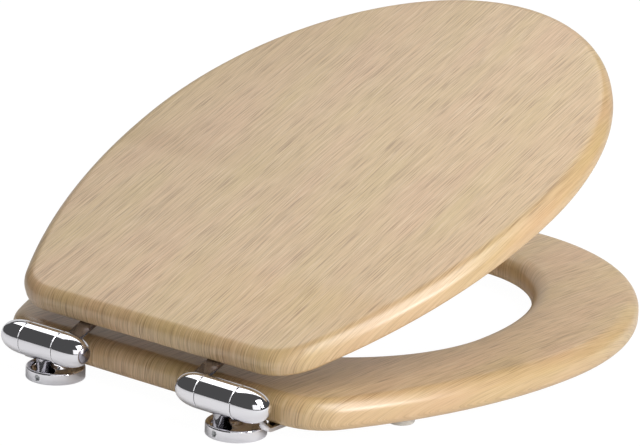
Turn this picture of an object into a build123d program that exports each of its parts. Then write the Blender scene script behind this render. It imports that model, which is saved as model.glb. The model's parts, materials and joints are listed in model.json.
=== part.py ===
import os
from math import cos, radians, sin, sqrt

from build123d import *

# Toilet seat: a ring and a lid of pressed board on two slow-close barrel hinges.
# Frame: origin midway between the two fixing holes, on the rim of the pan.
# +X runs along the hinge line, +Y to the front of the seat, +Z up.

# Hinge line and pose
fixing_spacing = 151.0  # between the fixing holes of the two feet
post_inset = 1.75  # each post nearer the middle than its fixing hole
axis_behind = 12.0  # hinge axis behind the fixing holes
axis_height = 25.4  # hinge axis above the pan
lid_open = 21.2  # angle of the lid at rest, degrees
rear_gap = 18.8  # from the hinge axis to the rear edges of ring and lid

# Seat ring
ring_width = 370.0
ring_length = 427.5
ring_widest = 209.5  # from the rear edge to the widest place
ring_rear_width = 251.5  # width at the rear edge, before its corners are rounded
ring_corner = 38.0
ring_thickness = 20.0
ring_underside = 9.0  # above the pan
ring_top_roll = 10.0
ring_bottom_roll = 6.0
hole_width = 231.5
hole_widest = 186.0  # from the rear edge to the hole's widest place
hole_front = 171.0  # from there to the hole's front end
hole_rear = 122.0  # and to its rear end
hole_top_roll = 13.0
hole_bottom_roll = 6.0

# Lid
lid_width = 338.5
lid_length = 421.5
lid_widest = 209.5
lid_rear_width = 218.0
lid_corner = 38.0
lid_thickness = 15.8
lid_gap = 4.5  # between the ring and the closed lid
lid_top_roll = 10.0
lid_bottom_roll = 3.0

# Barrels: a drum on each post, between two noses
barrel_radius = 11.0
drum_length = 28.0
seam = 0.4  # between the drum and each nose
seam_chamfer = 0.4
nose_length = 21.2
nose_shoulder = 6.0  # length over which a nose stays nearly full
nose_fullness = 11.0  # how blunt it is towards its tip
cap_setback = 2.1  # flat of the inner noses, back from the full tip
cap_radius = 5.0
cap_thickness = 1.2
cap_proud = 0.5
cap_stem_radius = 1.8
cap_stem_length = 3.6

# Leaves that carry the boards
lid_leaf_offset = 0.8  # from the seam to the lid leaf
lid_leaf_width = 11.0
seat_leaf_offset = 0.8  # from the seam to the seat leaf
seat_leaf_width = 12.5
foot_relief = 0.8  # room round the foot in the seat leaf
leaf_thickness = 2.5
leaf_length = 52.0  # from the hinge axis
leaf_bend = 5.0
leaf_tip = 4.0
lid_leaf_root = 6.2  # of the leaf's middle line, above the hinge axis
lid_leaf_run = 16.0  # from the hinge axis to where the leaf is level
seat_leaf_root = -6.6
seat_leaf_run = 13.0

# Posts and feet
pillar_radius = 5.8
spigot_radius = 4.0
spigot_length = 5.8
foot_radius = 19.3
foot_height = 7.6
foot_top_round = 1.2
foot_bottom_round = 0.5
fixing_thread_radius = 3.4
fixing_thread_depth = 5.6
set_screw_radius = 2.0
set_screw_recess = 0.4
set_screw_socket = 2.0  # across the flats
set_screw_socket_depth = 2.0

# Inside the barrels
damper_radius = 7.6
damper_length = 27.0
damper_key_width = 2.4
damper_key_height = 1.0
pin_radius = 3.0
pin_flats = 4.4  # across the flats that drive the pin
pin_reach = 11.5  # of each pin end into its nose
socket_depth = 12.5  # of the bores in the noses
bush_radius = 4.6

# Pads and screws
pad_radius = 10.0
pad_taper = 8.0  # degrees
pad_edge = 1.2
pad_bore = 4.2  # recess for the screw head
seat_pad_floor = 4.2  # thickness that the screw head bears on
lid_pad_clearance = 0.3  # between the lid's pads and the ring when the lid is shut
lid_pad_floor = 1.4
rear_pad_inset = 49.0  # from the ring's flank at its widest
rear_pad_out = 101.0  # pads are placed from the hinge axis
front_pad_x = 92.0
front_pad_inset = 58.5  # from the ring's front end
lid_pad_inset = 63.0  # from the lid's flank at its widest
lid_pad_setback = 88.0  # from the lid's front end
screw_radius = 1.7
screw_length = 11.0
screw_point = 2.5
screw_head_radius = 3.4
pan_head_height = 2.2
leaf_screw_outs = (27.0, 44.0)  # from the hinge axis
pilot_spare = 0.5  # depth of a pilot hole past its screw

# Clearances
press_fit = 0.05
running_fit = 0.06
seat_fit = 0.1

sides = {"left": -1, "right": 1}
roles = {"seat": 1, "lid": -1}  # the seat hangs on the outer noses, the lid on the inner ones
axis_y = -axis_behind
drum_half = drum_length / 2
half_turn = 180.0
lid_pad_height = lid_gap - lid_pad_clearance
leaf_offsets = {"seat": seat_leaf_offset, "lid": lid_leaf_offset}
leaf_widths = {"seat": seat_leaf_width, "lid": lid_leaf_width}
leaf_roots = {"seat": seat_leaf_root, "lid": lid_leaf_root}
leaf_runs = {"seat": seat_leaf_run, "lid": lid_leaf_run}
ring_top = ring_underside + ring_thickness


def hinge_frame(angle):
    # x along the hinge axis, y out along a board that stands at this angle
    up = (0, -sin(radians(angle)), cos(radians(angle)))
    return Plane(origin=(0, axis_y, axis_height), x_dir=(1, 0, 0), z_dir=up)


frames = {"seat": hinge_frame(0), "lid": hinge_frame(lid_open)}
undersides = {
    "seat": frames["seat"].offset(ring_underside - axis_height),
    "lid": frames["lid"].offset(ring_top + lid_gap - axis_height),
}


def across_axis(frame, x, direction):
    # plane across the hinge axis at x, facing along it
    return Plane(origin=(x, axis_y, axis_height), x_dir=frame.y_dir, z_dir=(direction, 0, 0))


def post_x(side):
    return sides[side] * (fixing_spacing / 2 - post_inset)


def nose_direction(side, role):
    return sides[side] * roles[role]


def nose_start(side, role):
    return post_x(side) + nose_direction(side, role) * (drum_half + seam)


def leaf_middle(side, role):
    return nose_start(side, role) + nose_direction(side, role) * (leaf_offsets[role] + leaf_widths[role] / 2)


def leaf_spots(role):
    # screw places of both leaves under one board
    return [(leaf_middle(side, role), out) for side in sides for out in leaf_screw_outs]


rear_pad_x = ring_width / 2 - rear_pad_inset
front_pad_out = rear_gap + ring_length - front_pad_inset
lid_pad_x = lid_width / 2 - lid_pad_inset
lid_pad_out = rear_gap + lid_length - lid_pad_setback
seat_pad_spots = {
    "rear_left": (-rear_pad_x, rear_pad_out),
    "rear_right": (rear_pad_x, rear_pad_out),
    "front_left": (-front_pad_x, front_pad_out),
    "front_right": (front_pad_x, front_pad_out),
}
lid_pad_spots = {"left": (-lid_pad_x, lid_pad_out), "right": (lid_pad_x, lid_pad_out)}


def board_outline(width, length, widest, rear_width, corner):
    # straight rear edge, two arcs along the flanks and half an ellipse at the front
    half = width / 2
    taper = half - rear_width / 2
    flank = (taper**2 + widest**2) / (2 * taper)
    middle = rear_gap + widest
    with BuildSketch() as outline:
        with BuildLine():
            EllipticalCenterArc((0, middle), half, length - widest, start_angle=0, arc_size=half_turn)
            RadiusArc((-half, middle), (-rear_width / 2, rear_gap), -flank)
            Line((-rear_width / 2, rear_gap), (rear_width / 2, rear_gap))
            RadiusArc((rear_width / 2, rear_gap), (half, middle), -flank)
        make_face()
        fillet(outline.vertices().group_by(Axis.Y)[0], radius=corner)
    return outline.sketch


def egg(half, middle, front, rear):
    # two half ellipses that meet where they are widest
    with BuildSketch() as oval:
        with BuildLine():
            EllipticalCenterArc((0, middle), half, front, start_angle=0, arc_size=half_turn)
            EllipticalCenterArc((0, middle), half, rear, start_angle=half_turn, arc_size=half_turn)
        make_face()
    return oval.sketch


def make_ring():
    under = undersides["seat"]
    hole_middle = rear_gap + hole_widest
    hole_half = hole_width / 2
    with BuildPart() as ring:
        with BuildSketch(under):
            add(board_outline(ring_width, ring_length, ring_widest, ring_rear_width, ring_corner))
        extrude(amount=ring_thickness)
        fillet(ring.faces().sort_by(Axis.Z)[-1].edges(), radius=ring_top_roll)
        fillet(ring.faces().sort_by(Axis.Z)[0].edges(), radius=ring_bottom_roll)
        with BuildSketch(under):
            add(egg(hole_half, hole_middle, hole_front, hole_rear))
        extrude(amount=ring_thickness, mode=Mode.SUBTRACT)
        fillet(ring.faces().sort_by(Axis.Z)[-1].inner_wires()[0].edges(), radius=hole_top_roll)
        fillet(ring.faces().sort_by(Axis.Z)[0].inner_wires()[0].edges(), radius=hole_bottom_roll)
        with BuildSketch(under):
            with Locations(*leaf_spots("seat")):
                Circle(screw_radius + press_fit)
        extrude(amount=screw_length - leaf_thickness + pilot_spare, mode=Mode.SUBTRACT)
        with BuildSketch(under):
            with Locations(*seat_pad_spots.values()):
                Circle(screw_radius + press_fit)
        extrude(amount=screw_length - seat_pad_floor + pilot_spare, mode=Mode.SUBTRACT)
    return ring


def make_lid():
    under = undersides["lid"]
    rise = Axis(under.origin, under.z_dir)
    with BuildPart() as lid:
        with BuildSketch(under):
            add(board_outline(lid_width, lid_length, lid_widest, lid_rear_width, lid_corner))
        extrude(amount=lid_thickness)
        fillet(lid.faces().sort_by(rise)[-1].edges(), radius=lid_top_roll)
        fillet(lid.faces().sort_by(rise)[0].edges(), radius=lid_bottom_roll)
        with BuildSketch(under):
            with Locations(*leaf_spots("lid")):
                Circle(screw_radius + press_fit)
        extrude(amount=screw_length - leaf_thickness + pilot_spare, mode=Mode.SUBTRACT)
        with BuildSketch(under):
            with Locations(*lid_pad_spots.values()):
                Circle(screw_radius + press_fit)
        extrude(amount=screw_length - lid_pad_floor + pilot_spare, mode=Mode.SUBTRACT)
    return lid


def make_foot(side):
    fixing_x = sides[side] * fixing_spacing / 2
    with BuildPart() as foot:
        with BuildSketch():
            with Locations((fixing_x, 0)):
                Circle(foot_radius)
        extrude(amount=foot_height)
        fillet(foot.faces().sort_by(Axis.Z)[-1].edges(), radius=foot_top_round)
        fillet(foot.faces().sort_by(Axis.Z)[0].edges(), radius=foot_bottom_round)
        with BuildSketch(Plane.XY.offset(foot_height)):
            with Locations((post_x(side), axis_y)):
                Circle(spigot_radius + seat_fit)
        extrude(amount=-spigot_length - seat_fit, mode=Mode.SUBTRACT)
        with BuildSketch():
            with Locations((fixing_x, 0)):
                Circle(fixing_thread_radius)
        extrude(amount=fixing_thread_depth, mode=Mode.SUBTRACT)
        with BuildSketch(set_screw_plane(side, 0)):
            Circle(set_screw_radius + press_fit)
        extrude(amount=foot_radius, mode=Mode.SUBTRACT)
    return foot


def set_screw_plane(side, back):
    # faces the rear of the foot, this far behind the middle of the post
    middle = (post_x(side), axis_y - back, foot_height / 2)
    return Plane(origin=middle, x_dir=(1, 0, 0), z_dir=(0, -1, 0))


def make_set_screws():
    wall = sqrt(foot_radius**2 - post_inset**2) - axis_behind
    tip = spigot_radius + press_fit
    length = wall - set_screw_recess - tip
    with BuildPart() as screws:
        for side in sides:
            with BuildSketch(set_screw_plane(side, tip)):
                Circle(set_screw_radius)
            extrude(amount=length)
            with BuildSketch(set_screw_plane(side, tip + length)):
                RegularPolygon(set_screw_socket / 2, 6, major_radius=False)
            extrude(amount=-set_screw_socket_depth, mode=Mode.SUBTRACT)
    return screws


def make_post(side):
    drum_end = across_axis(frames["seat"], post_x(side) - drum_half, 1)
    with BuildPart() as post:
        with BuildSketch(drum_end):
            Circle(barrel_radius)
        extrude(amount=drum_length)
        chamfer(post.edges().filter_by(GeomType.CIRCLE), length=seam_chamfer)
        with BuildSketch(Plane.XY.offset(foot_height)):
            with Locations((post_x(side), axis_y)):
                Circle(pillar_radius)
        extrude(amount=axis_height - foot_height)
        with BuildSketch(Plane.XY.offset(foot_height)):
            with Locations((post_x(side), axis_y)):
                Circle(spigot_radius)
        extrude(amount=-spigot_length)
        with BuildSketch(drum_end):
            Circle(damper_radius + press_fit)
            Rectangle(
                damper_key_width + 2 * press_fit,
                2 * (damper_radius + damper_key_height + press_fit),
            )
        extrude(amount=drum_length, mode=Mode.SUBTRACT)
    return post


def make_damper(side):
    with BuildPart() as damper:
        with BuildSketch(across_axis(frames["seat"], post_x(side) - damper_length / 2, 1)):
            Circle(damper_radius)
            Rectangle(damper_key_width, 2 * (damper_radius + damper_key_height))
            Circle(pin_radius + running_fit, mode=Mode.SUBTRACT)
        extrude(amount=damper_length)
    return damper


def drives_pin(side, role):
    # in each hinge the nose on the +X side turns the pin, and the other turns on it
    return nose_direction(side, role) > 0


def make_pin(side, role):
    half = drum_half + seam + pin_reach
    flat_depth = pin_radius - pin_flats / 2
    with BuildPart() as pin:
        with BuildSketch(across_axis(frames[role], post_x(side) - half, 1)):
            Circle(pin_radius)
        extrude(amount=2 * half)
        with BuildSketch(across_axis(frames[role], post_x(side) + half, -1)):
            with GridLocations(0, pin_flats + flat_depth, 1, 2):
                Rectangle(2 * pin_radius, flat_depth)
        extrude(amount=pin_reach, mode=Mode.SUBTRACT)
    return pin


def make_bush(side, role):
    with BuildPart() as bush:
        with BuildSketch(across_axis(frames[role], nose_start(side, role), nose_direction(side, role))):
            Circle(bush_radius)
            Circle(pin_radius + running_fit, mode=Mode.SUBTRACT)
        extrude(amount=socket_depth)
    return bush


def leaf_path(role):
    # middle line of a leaf's section, from inside its nose to its end under the board
    board = frames[role].to_local_coords(undersides[role].origin).Z
    level = board - leaf_thickness / 2
    return [(0, leaf_roots[role]), (leaf_runs[role], level), (leaf_length, level)]


def cap_flat(side):
    # x of the flat that an end cap sits on
    return nose_start(side, "lid") + nose_direction(side, "lid") * (nose_length - cap_setback)


def make_knuckle(side, role):
    frame = frames[role]
    direction = nose_direction(side, role)
    start = nose_start(side, role)
    nose = Plane(origin=(start, axis_y, axis_height), x_dir=(direction, 0, 0), z_dir=frame.z_dir)
    middle = leaf_middle(side, role)
    under = undersides[role]
    with BuildPart() as knuckle:
        with BuildSketch(nose):
            with BuildLine():
                Polyline(
                    (nose_length, 0),
                    (0, 0),
                    (0, barrel_radius - seam_chamfer),
                    (seam_chamfer, barrel_radius),
                )
                Bezier(
                    (seam_chamfer, barrel_radius),
                    (nose_shoulder, barrel_radius),
                    (nose_length, nose_fullness),
                    (nose_length, 0),
                )
            make_face()
        revolve(axis=Axis(nose.origin, nose.x_dir))
        with BuildSketch(across_axis(frame, middle - leaf_widths[role] / 2, 1)):
            with BuildLine():
                FilletPolyline(*leaf_path(role), radius=leaf_bend)
            trace(line_width=leaf_thickness)
        extrude(amount=leaf_widths[role])
        tips = knuckle.edges().filter_by(Axis(frame.origin, frame.z_dir))
        fillet(tips.sort_by(Axis(frame.origin, frame.y_dir))[-2:], radius=leaf_tip)
        with BuildSketch(across_axis(frame, start, direction)):
            if drives_pin(side, role):
                Circle(pin_radius + press_fit)
                Rectangle(
                    2 * (pin_radius + press_fit),
                    pin_flats + 2 * press_fit,
                    mode=Mode.INTERSECT,
                )
            else:
                Circle(bush_radius + press_fit)
        extrude(amount=socket_depth, mode=Mode.SUBTRACT)
        if role == "seat":
            with BuildSketch():
                with Locations((sides[side] * fixing_spacing / 2, 0)):
                    Circle(foot_radius + foot_relief)
            extrude(amount=ring_underside + foot_relief, mode=Mode.SUBTRACT)
        if role == "lid":
            flat = across_axis(frame, cap_flat(side), direction)
            split(bisect_by=flat, keep=Keep.BOTTOM)
            with BuildSketch(flat):
                Circle(cap_radius + seat_fit)
            extrude(amount=cap_proud - cap_thickness, mode=Mode.SUBTRACT)
            with BuildSketch(flat):
                Circle(cap_stem_radius + press_fit)
            extrude(amount=cap_proud - cap_thickness - cap_stem_length, mode=Mode.SUBTRACT)
        for out in leaf_screw_outs:
            heel = under.from_local_coords((middle, out, -leaf_thickness))
            with Locations(Plane(origin=heel, x_dir=(1, 0, 0), z_dir=-frame.z_dir)):
                CounterSinkHole(
                    screw_radius + seat_fit,
                    screw_head_radius + seat_fit,
                    depth=leaf_thickness,
                    counter_sink_angle=90,
                )
    return knuckle


def make_end_cap(side):
    flat = across_axis(frames["lid"], cap_flat(side), nose_direction(side, "lid"))
    with BuildPart() as cap:
        with BuildSketch(flat.offset(cap_proud)):
            Circle(cap_radius)
        extrude(amount=-cap_thickness)
        with BuildSketch(flat.offset(cap_proud)):
            Circle(cap_stem_radius)
        extrude(amount=-cap_thickness - cap_stem_length)
    return cap


def make_pad(role, spot, height, floor):
    under = undersides[role]
    seat = under.from_local_coords((*spot, 0))
    down = Plane(origin=seat, x_dir=(1, 0, 0), z_dir=-under.z_dir)
    with BuildPart() as pad:
        with BuildSketch(down):
            Circle(pad_radius)
        extrude(amount=height, taper=pad_taper)
        fillet(pad.faces().sort_by(Axis(down.origin, down.z_dir))[-1].edges(), radius=pad_edge)
        with BuildSketch(down.offset(floor)):
            Circle(pad_bore)
        extrude(amount=height - floor, mode=Mode.SUBTRACT)
        with BuildSketch(down):
            Circle(screw_radius + seat_fit)
        extrude(amount=floor, mode=Mode.SUBTRACT)
    return pad


def make_screws(role, spots, grip, head_profile):
    # wood screws that point up into a board, with their heads this far below it
    frame = frames[role]
    under = undersides[role]
    with BuildPart() as screws:
        for x, out in spots:
            heel = under.from_local_coords((x, out, -grip))
            with BuildSketch(Plane(origin=heel, x_dir=(1, 0, 0), z_dir=-frame.y_dir)):
                with BuildLine():
                    Polyline(
                        *head_profile,
                        (screw_radius, screw_length - screw_point),
                        (0, screw_length),
                        head_profile[0],
                    )
                make_face()
            revolve(axis=Axis(heel, frame.z_dir))
    return screws


countersunk_head = [
    (0, 0),
    (screw_head_radius, 0),
    (screw_radius, screw_head_radius - screw_radius),
]
pan_head = [
    (0, -pan_head_height),
    (screw_head_radius - pan_head_height / 2, -pan_head_height),
    (screw_head_radius, -pan_head_height / 2),
    (screw_head_radius, 0),
    (screw_radius, 0),
]


def save(piece, name):
    piece.part.label = name
    export_step(piece.part, f"parts/{name}.step")


os.makedirs("parts", exist_ok=True)
save(make_ring(), "seat_ring")
save(make_lid(), "lid")
save(make_set_screws(), "set_screws")
for side in sides:
    driver, runner = ("lid", "seat") if drives_pin(side, "lid") else ("seat", "lid")
    save(make_foot(side), f"foot_{side}")
    save(make_post(side), f"post_{side}")
    save(make_damper(side), f"damper_{side}")
    save(make_pin(side, driver), f"hinge_pin_{side}")
    save(make_bush(side, runner), f"bush_{side}")
    save(make_knuckle(side, "lid"), f"lid_knuckle_{side}")
    save(make_knuckle(side, "seat"), f"seat_knuckle_{side}")
    save(make_end_cap(side), f"end_cap_{side}")
for place, spot in seat_pad_spots.items():
    save(make_pad("seat", spot, ring_underside, seat_pad_floor), f"seat_buffer_{place}")
for place, spot in lid_pad_spots.items():
    save(make_pad("lid", spot, lid_pad_height, lid_pad_floor), f"lid_buffer_{place}")
save(make_screws("seat", leaf_spots("seat"), leaf_thickness, countersunk_head), "seat_leaf_screws")
save(make_screws("lid", leaf_spots("lid"), leaf_thickness, countersunk_head), "lid_leaf_screws")
save(make_screws("seat", seat_pad_spots.values(), seat_pad_floor, pan_head), "seat_buffer_screws")
save(make_screws("lid", lid_pad_spots.values(), lid_pad_floor, pan_head), "lid_buffer_screws")
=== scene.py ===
import json
from math import cos, radians, sin

import bmesh
import bpy
from mathutils import Matrix, Vector

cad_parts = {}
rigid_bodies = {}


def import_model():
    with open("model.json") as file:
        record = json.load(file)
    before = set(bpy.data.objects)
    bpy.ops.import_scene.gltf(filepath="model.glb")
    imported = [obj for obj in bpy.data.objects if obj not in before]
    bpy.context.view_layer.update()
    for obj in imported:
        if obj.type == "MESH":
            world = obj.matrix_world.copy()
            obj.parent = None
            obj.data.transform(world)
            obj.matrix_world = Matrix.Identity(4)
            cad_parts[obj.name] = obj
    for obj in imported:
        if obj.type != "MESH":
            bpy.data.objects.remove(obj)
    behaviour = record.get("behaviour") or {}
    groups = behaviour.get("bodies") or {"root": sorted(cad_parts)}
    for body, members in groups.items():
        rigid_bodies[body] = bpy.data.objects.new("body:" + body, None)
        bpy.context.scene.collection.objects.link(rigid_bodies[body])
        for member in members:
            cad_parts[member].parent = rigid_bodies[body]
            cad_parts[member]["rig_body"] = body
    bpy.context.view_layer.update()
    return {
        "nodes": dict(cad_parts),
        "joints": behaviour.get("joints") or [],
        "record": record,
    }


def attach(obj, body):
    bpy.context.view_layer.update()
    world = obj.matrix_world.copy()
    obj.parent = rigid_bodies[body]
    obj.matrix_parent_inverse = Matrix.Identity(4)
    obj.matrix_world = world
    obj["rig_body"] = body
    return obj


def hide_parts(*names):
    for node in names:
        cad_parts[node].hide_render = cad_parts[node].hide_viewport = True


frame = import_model()
mm = 0.001
hinge = Vector(frame["joints"][0]["pos_m"])
lidOpen = radians(-frame["joints"][1]["range_deg"][0])
print("frame loaded:", len(frame["nodes"]), "CAD nodes")


def toLinear(hexColour):
    # sRGB hex to the linear colour that shaders take
    parts = [int(hexColour[i:i + 2], 16) / 255 for i in (1, 3, 5)]
    return [c / 12.92 if c <= 0.04045 else ((c + 0.055) / 1.055) ** 2.4 for c in parts] + [1.0]


def addObject(name, data):
    thing = bpy.data.objects.new(name, data)
    bpy.context.scene.collection.objects.link(thing)
    return thing


def addNode(tree, kind, links=None, stops=None, **settings):
    # settings are the node's own properties or its input values, links are outputs for its inputs
    node = tree.nodes.new("ShaderNode" + kind)
    for name, value in settings.items():
        if hasattr(node, name):
            setattr(node, name, value)
        else:
            node.inputs[name].default_value = value
    for name, output in (links or {}).items():
        tree.links.new(output, node.inputs[name])
    if stops:
        ramp = node.color_ramp.elements
        while len(ramp) < len(stops):
            ramp.new(1.0)
        for element, (place, colour) in zip(ramp, stops):
            element.position = place
            element.color = toLinear(colour)
    return node


def addRange(tree, value, target, source=(0.0, 1.0)):
    # carries a value from the source range to the target range
    ends = zip(("From Min", "From Max", "To Min", "To Max"), (*source, *target))
    return addNode(tree, "MapRange", {0: value}, **dict(ends)).outputs[0]


def addNoise(tree, vector, sizes, detail):
    # noise whose lumps are this many millimetres along each axis
    fitted = addNode(tree, "Mapping", {"Vector": vector}, Scale=[1 / (size * mm) for size in sizes])
    return addNode(tree, "TexNoise", {"Vector": fitted.outputs[0]}, Scale=1.0, Detail=detail).outputs[0]


def newMaterial(name):
    material = bpy.data.materials.new(name)
    material.use_nodes = True
    tree = material.node_tree
    tree.nodes.clear()
    return material, tree


def finishMaterial(tree, shader):
    addNode(tree, "OutputMaterial", {"Surface": shader.outputs[0]})


# Oak foil pressed on board: fine dark dashes and lines along the length, in clusters, with slow drifts
# towards pink and yellow, under a satin lacquer. The foil wraps round the flanks and straight down the
# ends. Each noise layer has its lumps across, along and deep, its detail and the levels that count
oak = {
    "sway": {"lumps": (38, 120, 60), "detail": 2, "levels": (0.25, 0.75)},
    "dash": {"lumps": (0.6, 26, 22), "detail": 2, "levels": (0.50, 0.68)},
    "line": {"lumps": (1.1, 95, 45), "detail": 3, "levels": (0.50, 0.66)},
    "glint": {"lumps": (1.0, 32, 32), "detail": 2, "levels": (0.50, 0.68)},
    "cluster": {"lumps": (16, 150, 60), "detail": 2, "levels": (0.35, 0.65)},
    "drift": {"lumps": (42, 130, 60), "detail": 2, "levels": (0.30, 0.70)},
    # the share of grain left on the X-facing flanks, where it is faded as painted sheen
    "swayShift": 1.3, "clusterLeast": 0.7, "flankGrain": 0.45,
    "dashShare": 0.72, "lineShare": 0.40, "glintShare": 0.6,
    "pale": "#d9bf98", "dark": "#7d5a31",
    "drifts": [(0.1, "#c5a977"), (0.5, "#c7a87c"), (0.9, "#c9a67e")],
    "pore": 0.02, "poreStrength": 0.4, "roughness": 0.36, "ior": 1.5, "gloss": 1.0,
}


def oakFoil(name, board, tilt):
    # board is the node that the foil covers, tilt the angle at which it stands
    material, tree = newMaterial(name)
    turn = Matrix.Rotation(tilt, 3, "X")
    corners = frame["nodes"][board].data.vertices
    top = max((turn.transposed() @ (corner.co - hinge)).z for corner in corners)
    coords = addNode(tree, "TexCoord")
    place = addNode(tree, "Mapping", {"Vector": coords.outputs["Object"]}, vector_type="TEXTURE",
                    Location=hinge + turn @ Vector((0, 0, top)), Rotation=(tilt, 0, 0)).outputs[0]

    def layer(vector, key, least=0.0, most=1.0):
        look = oak[key]
        noise = addNoise(tree, vector, look["lumps"], look["detail"])
        return addRange(tree, noise, (least, most), look["levels"])

    def combined(operation, first, second):
        return addNode(tree, "Math", {0: first, 1: second}, operation=operation).outputs[0]

    def tinted(share, under, colour):
        mixed = addNode(tree, "Mix", {0: share, 6: under}, data_type="RGBA")
        mixed.inputs[7].default_value = toLinear(colour)
        return mixed.outputs[2]

    side = addNode(tree, "SeparateXYZ", {0: coords.outputs["Normal"]}).outputs["X"]
    steep = addNode(tree, "Math", {0: side}, operation="ABSOLUTE").outputs[0]
    depth = addNode(tree, "SeparateXYZ", {0: place}).outputs["Z"]
    wrap = combined("MULTIPLY", combined("MULTIPLY", side, steep), depth)
    sway = layer(place, "sway", -oak["swayShift"] * mm, oak["swayShift"] * mm)
    across = combined("SUBTRACT", sway, wrap)
    shift = addNode(tree, "CombineXYZ", {"X": across}).outputs[0]
    grain = addNode(tree, "VectorMath", {0: place, 1: shift}, operation="ADD").outputs[0]

    # Painted sheen: the grain is faded on the flanks that face along X, standing in for the glare that pales
    # them
    paintedSheenFade = addRange(tree, steep, (1.0, oak["flankGrain"]))
    weight = combined("MULTIPLY", layer(grain, "cluster", oak["clusterLeast"]), paintedSheenFade)
    dash = combined("MULTIPLY", layer(grain, "dash", most=oak["dashShare"]), weight)
    line = combined("MULTIPLY", layer(grain, "line", most=oak["lineShare"]), weight)
    glint = combined("MULTIPLY", layer(grain, "glint", most=oak["glintShare"]), paintedSheenFade)
    drift = addNode(tree, "ValToRGB", {0: layer(grain, "drift")}, stops=oak["drifts"]).outputs[0]
    colour = tinted(line, tinted(glint, drift, oak["pale"]), oak["dark"])
    colour = tinted(dash, colour, oak["dark"])
    pores = addNode(tree, "Bump", {"Height": dash}, invert=True,
                    Strength=oak["poreStrength"], Distance=oak["pore"] * mm)
    finish = {"Roughness": oak["roughness"], "IOR": oak["ior"], "Specular IOR Level": oak["gloss"]}
    links = {"Base Color": colour, "Normal": pores.outputs[0]}
    finishMaterial(tree, addNode(tree, "BsdfPrincipled", links, **finish))
    return material


# Plate on a zinc casting. The barrels and feet are mirror bright, with the faint waves of polished
# plating and softly rounded edges. The lid leaves and the end discs, polished less, are a rougher satin;
# its darker tone is painted shade, standing in for the dark that the end discs reflect
plates = {
    "chromePlatedZinc": {"tone": "#e9e8ec", "roughness": (0.03, 0.09), "wave": 9.0},
    "satinPlatedZinc": {"tone": "#aaa7af", "roughness": (0.20, 0.28), "wave": 6.0},
    "detail": 3.0, "swell": 0.03, "swellDepth": 0.02, "edge": 0.4, "edgeSamples": 6,
}


def platedZinc(name):
    look = plates[name]
    material, tree = newMaterial(name)
    place = addNode(tree, "TexCoord").outputs["Object"]
    haze = addNode(tree, "TexNoise", {"Vector": place}, Scale=1 / (look["wave"] * mm),
                   Detail=plates["detail"]).outputs[0]
    rough = addRange(tree, haze, look["roughness"])
    edge = addNode(tree, "Bevel", samples=plates["edgeSamples"], Radius=plates["edge"] * mm)
    bump = addNode(tree, "Bump", {"Height": haze, "Normal": edge.outputs[0]},
                   Strength=plates["swell"], Distance=plates["swellDepth"] * mm)
    shader = addNode(tree, "BsdfPrincipled", {"Roughness": rough, "Normal": bump.outputs[0]},
                     **{"Base Color": toLinear(look["tone"]), "Metallic": 1.0})
    finishMaterial(tree, shader)
    return material


# Turned and ground steel: fine rings and scratches that blur its shine
steel = {
    "tone": "#b9bbbd", "scratch": (0.4, 6.0, 0.4), "detail": 4.0, "roughness": (0.22, 0.42),
    "strength": 0.3, "depth": 0.01,
}


def turnedSteel(name):
    material, tree = newMaterial(name)
    place = addNode(tree, "TexCoord").outputs["Object"]
    scratch = addNoise(tree, place, steel["scratch"], steel["detail"])
    rough = addRange(tree, scratch, steel["roughness"])
    bump = addNode(tree, "Bump", {"Height": scratch},
                   Strength=steel["strength"], Distance=steel["depth"] * mm)
    shader = addNode(tree, "BsdfPrincipled", {"Roughness": rough, "Normal": bump.outputs[0]},
                     **{"Base Color": toLinear(steel["tone"]), "Metallic": 1.0})
    finishMaterial(tree, shader)
    return material


# Moulded soft rubber and matt nylon: spark-eroded mould texture, slightly uneven shade
mouldings = {
    "bufferRubber": {"tones": ("#e6e3dc", "#f3f1ec"), "roughness": 0.55, "texture": 0.5, "depth": 0.03},
    "matteNylon": {"tones": ("#2c2d2f", "#3a3b3d"), "roughness": 0.6, "texture": 0.4, "depth": 0.02},
    "cloud": 8.0, "cloudDetail": 3.0, "toneStops": (0.35, 0.65),
    "textureDetail": 2.0, "strength": 0.5, "ior": 1.5,
}


def moulded(name):
    look = mouldings[name]
    material, tree = newMaterial(name)
    place = addNode(tree, "TexCoord").outputs["Object"]
    shade = addNode(tree, "TexNoise", {"Vector": place}, Scale=1 / (mouldings["cloud"] * mm),
                    Detail=mouldings["cloudDetail"])
    tone = addNode(tree, "ValToRGB", {0: shade.outputs[0]},
                   stops=list(zip(mouldings["toneStops"], look["tones"])))
    texture = addNode(tree, "TexNoise", {"Vector": place}, Scale=1 / (look["texture"] * mm),
                      Detail=mouldings["textureDetail"])
    bump = addNode(tree, "Bump", {"Height": texture.outputs[0]},
                   Strength=mouldings["strength"], Distance=look["depth"] * mm)
    links = {"Base Color": tone.outputs[0], "Normal": bump.outputs[0]}
    shader = addNode(tree, "BsdfPrincipled", links, Roughness=look["roughness"], IOR=mouldings["ior"])
    finishMaterial(tree, shader)
    return material


finishes = {
    "oak": oakFoil("oakFoilSeat", "seat_ring", 0.0),
    "chrome": platedZinc("chromePlatedZinc"),
    "steel": turnedSteel("turnedSteel"),
    "pad": moulded("bufferRubber"),
    "plastic": moulded("matteNylon"),
}
lidOak = oakFoil("oakFoilLid", "lid", lidOpen)
satin = platedZinc("satinPlatedZinc")
print("materials made:", len(bpy.data.materials))


# Smooth copies of the CAD pieces, with their crisp edges kept. Angles are in degrees and lengths in
# millimetres: barrel is a radius just outside the barrels, core one inside which a normal has no side
copies = {"crisp": 35, "turned": 6, "barrel": 11.3, "core": 0.5, "weld": 0.002}


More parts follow.
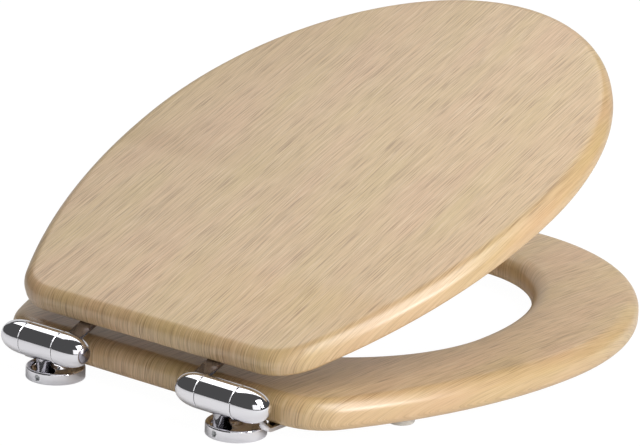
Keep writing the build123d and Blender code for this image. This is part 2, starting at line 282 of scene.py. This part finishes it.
def turnedNormals(mesh):
    # normals of the barrel's turned faces, worked out round the hinge axis, so that reflections run straight
    slack, nearby = sin(radians(copies["turned"])), cos(radians(copies["crisp"]))
    turned, around = {}, {}
    for face in mesh.polygons:
        arm = face.center - hinge
        outward = Vector((0, arm.y, arm.z)).normalized()
        along = outward.cross(Vector((1, 0, 0)))
        if arm.yz.length < copies["barrel"] * mm and abs(face.normal.dot(along)) < slack:
            turned[face.index] = Vector((face.normal.dot(outward), face.normal.x)) * face.area
            for vertex in face.vertices:
                around.setdefault(vertex, []).append(face.index)
    normals = []
    for face in mesh.polygons:
        own = turned.get(face.index)
        for vertex in face.vertices:
            arm = mesh.vertices[vertex].co - hinge
            if own is None or arm.yz.length < copies["core"] * mm:
                # a zero normal leaves the mesh's own one
                normals.append((0, 0, 0))
                continue
            slopes = [turned[other] for other in around[vertex]]
            facing = own.normalized()
            near = [slope for slope in slopes if slope.normalized().dot(facing) > nearby]
            mean = sum(near, Vector((0, 0))).normalized()
            outward = Vector((0, arm.y, arm.z)).normalized()
            normals.append((mean.y, outward.y * mean.x, outward.z * mean.x))
    mesh.normals_split_custom_set(normals)


def smoothCopy(node):
    source = frame["nodes"][node]
    mesh = source.data.copy()
    work = bmesh.new()
    work.from_mesh(mesh)
    bmesh.ops.remove_doubles(work, verts=work.verts, dist=copies["weld"] * mm)
    work.to_mesh(mesh)
    work.free()
    mesh.shade_smooth()
    mesh.set_sharp_from_angle(angle=radians(copies["crisp"]))
    if "knuckle" in node or "post" in node:
        turnedNormals(mesh)
    first, *others = node.split("_")
    piece = addObject(first + "".join(word.capitalize() for word in others), mesh)
    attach(piece, source["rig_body"])
    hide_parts(node)
    return piece


slots = {row["node"]: row["material_slot"] for row in frame["record"]["subparts"]}
# the end discs take the satin plate, whose darker tone is painted shade for the dark they reflect
ownFinishes = {"lid": lidOak, "end_cap_left": satin, "end_cap_right": satin}
for node in sorted(frame["nodes"]):
    piece = smoothCopy(node)
    piece.data.materials.clear()
    piece.data.materials.append(ownFinishes.get(node, finishes[slots[node]]))
    if node.startswith("lid_knuckle"):
        # the leaf is all that lies outside the barrel
        piece.data.materials.append(satin)
        for face in piece.data.polygons:
            reach = face.center - hinge
            face.material_index = int(reach.yz.length > copies["barrel"] * mm)
print("pieces dressed:", len(slots))


# White paper ground, five softboxes and a faint even surround, in metres and watts. The camera sees the
# ground nearly as white as a cut-out, and reflections see it as the lit paper
studio = {
    "floor": 12.0, "floorTone": "#e6e6e6", "floorGlow": 0.10, "white": 1.05, "whiteShare": 0.93,
    "surround": 0.08, "aim": (0.0, 0.19, 0.10),
    "softboxes": {
        "overheadPanel": {"place": (-0.85, 0.99, 1.62), "size": (2.2, 1.2), "watts": 15},
        "rightTop": {"place": (1.15, -0.10, 1.60), "size": (1.3, 1.3), "watts": 26},
        "rightBox": {"place": (1.70, 0.10, 0.70), "size": (0.35, 0.35), "watts": 12},
        "rearWall": {"place": (1.60, -1.40, 0.90), "size": (2.2, 1.4), "watts": 11},
        "frontWall": {"place": (-1.70, 2.50, 0.70), "size": (4.5, 1.4), "watts": 12},
    },
}


def makeFloor():
    mesh = bpy.data.meshes.new("floor")
    work = bmesh.new()
    bmesh.ops.create_grid(work, x_segments=1, y_segments=1, size=studio["floor"] / 2)
    work.to_mesh(mesh)
    work.free()
    floor = addObject("floor", mesh)
    material, tree = newMaterial("paperSweep")
    tone = toLinear(studio["floorTone"])
    paper = addNode(tree, "BsdfPrincipled", **{"Base Color": tone, "Roughness": 1.0, "Emission Color": tone,
                                              "Emission Strength": studio["floorGlow"]})
    white = addNode(tree, "Emission", Color=(1, 1, 1, 1), Strength=studio["white"])
    path = addNode(tree, "LightPath")
    share = addNode(tree, "Math", {0: path.outputs["Is Camera Ray"]}, operation="MULTIPLY")
    share.inputs[1].default_value = studio["whiteShare"]
    mixed = addNode(tree, "MixShader", {0: share.outputs[0], 1: paper.outputs[0], 2: white.outputs[0]})
    finishMaterial(tree, mixed)
    mesh.materials.append(material)


def makeSoftbox(name):
    look = studio["softboxes"][name]
    data = bpy.data.lights.new(name, "AREA")
    data.shape = "RECTANGLE"
    data.size, data.size_y = look["size"]
    data.energy = look["watts"]
    light = addObject(name, data)
    light.location = look["place"]
    aim = Vector(studio["aim"]) - light.location
    light.rotation_euler = aim.to_track_quat("-Z", "Y").to_euler()


def makeSurround():
    world = bpy.data.worlds.new("surround")
    world.use_nodes = True
    background = world.node_tree.nodes["Background"]
    background.inputs["Color"].default_value = (1, 1, 1, 1)
    background.inputs["Strength"].default_value = studio["surround"]
    bpy.context.scene.world = world
    bpy.context.scene.view_settings.view_transform = "Standard"


# Angles in degrees, lens and sensor in millimetres, the rest in metres
cameraView = {
    "azimuth": 37.30, "elevation": 15.88, "roll": 2.58, "lens": 167.65, "sensor": 36,
    "target": (0.05048, 0.10871, 0.10768), "distance": 1.90384,
}


def makeCamera():
    turn, rise, roll = (radians(cameraView[key]) for key in ("azimuth", "elevation", "roll"))
    back = Vector((sin(turn) * cos(rise), -cos(turn) * cos(rise), sin(rise)))
    level = Vector((cos(turn), sin(turn), 0))
    upright = back.cross(level)
    right = cos(roll) * level + sin(roll) * upright
    up = cos(roll) * upright - sin(roll) * level
    data = bpy.data.cameras.new("camera")
    data.lens = cameraView["lens"]
    data.sensor_width = cameraView["sensor"]
    camera = addObject("camera", data)
    stand = Vector(cameraView["target"]) + cameraView["distance"] * back
    camera.matrix_world = Matrix.Translation(stand) @ Matrix((right, up, back)).transposed().to_4x4()
    bpy.context.scene.camera = camera


makeFloor()
for name in studio["softboxes"]:
    makeSoftbox(name)
makeSurround()
makeCamera()
print("studio set")
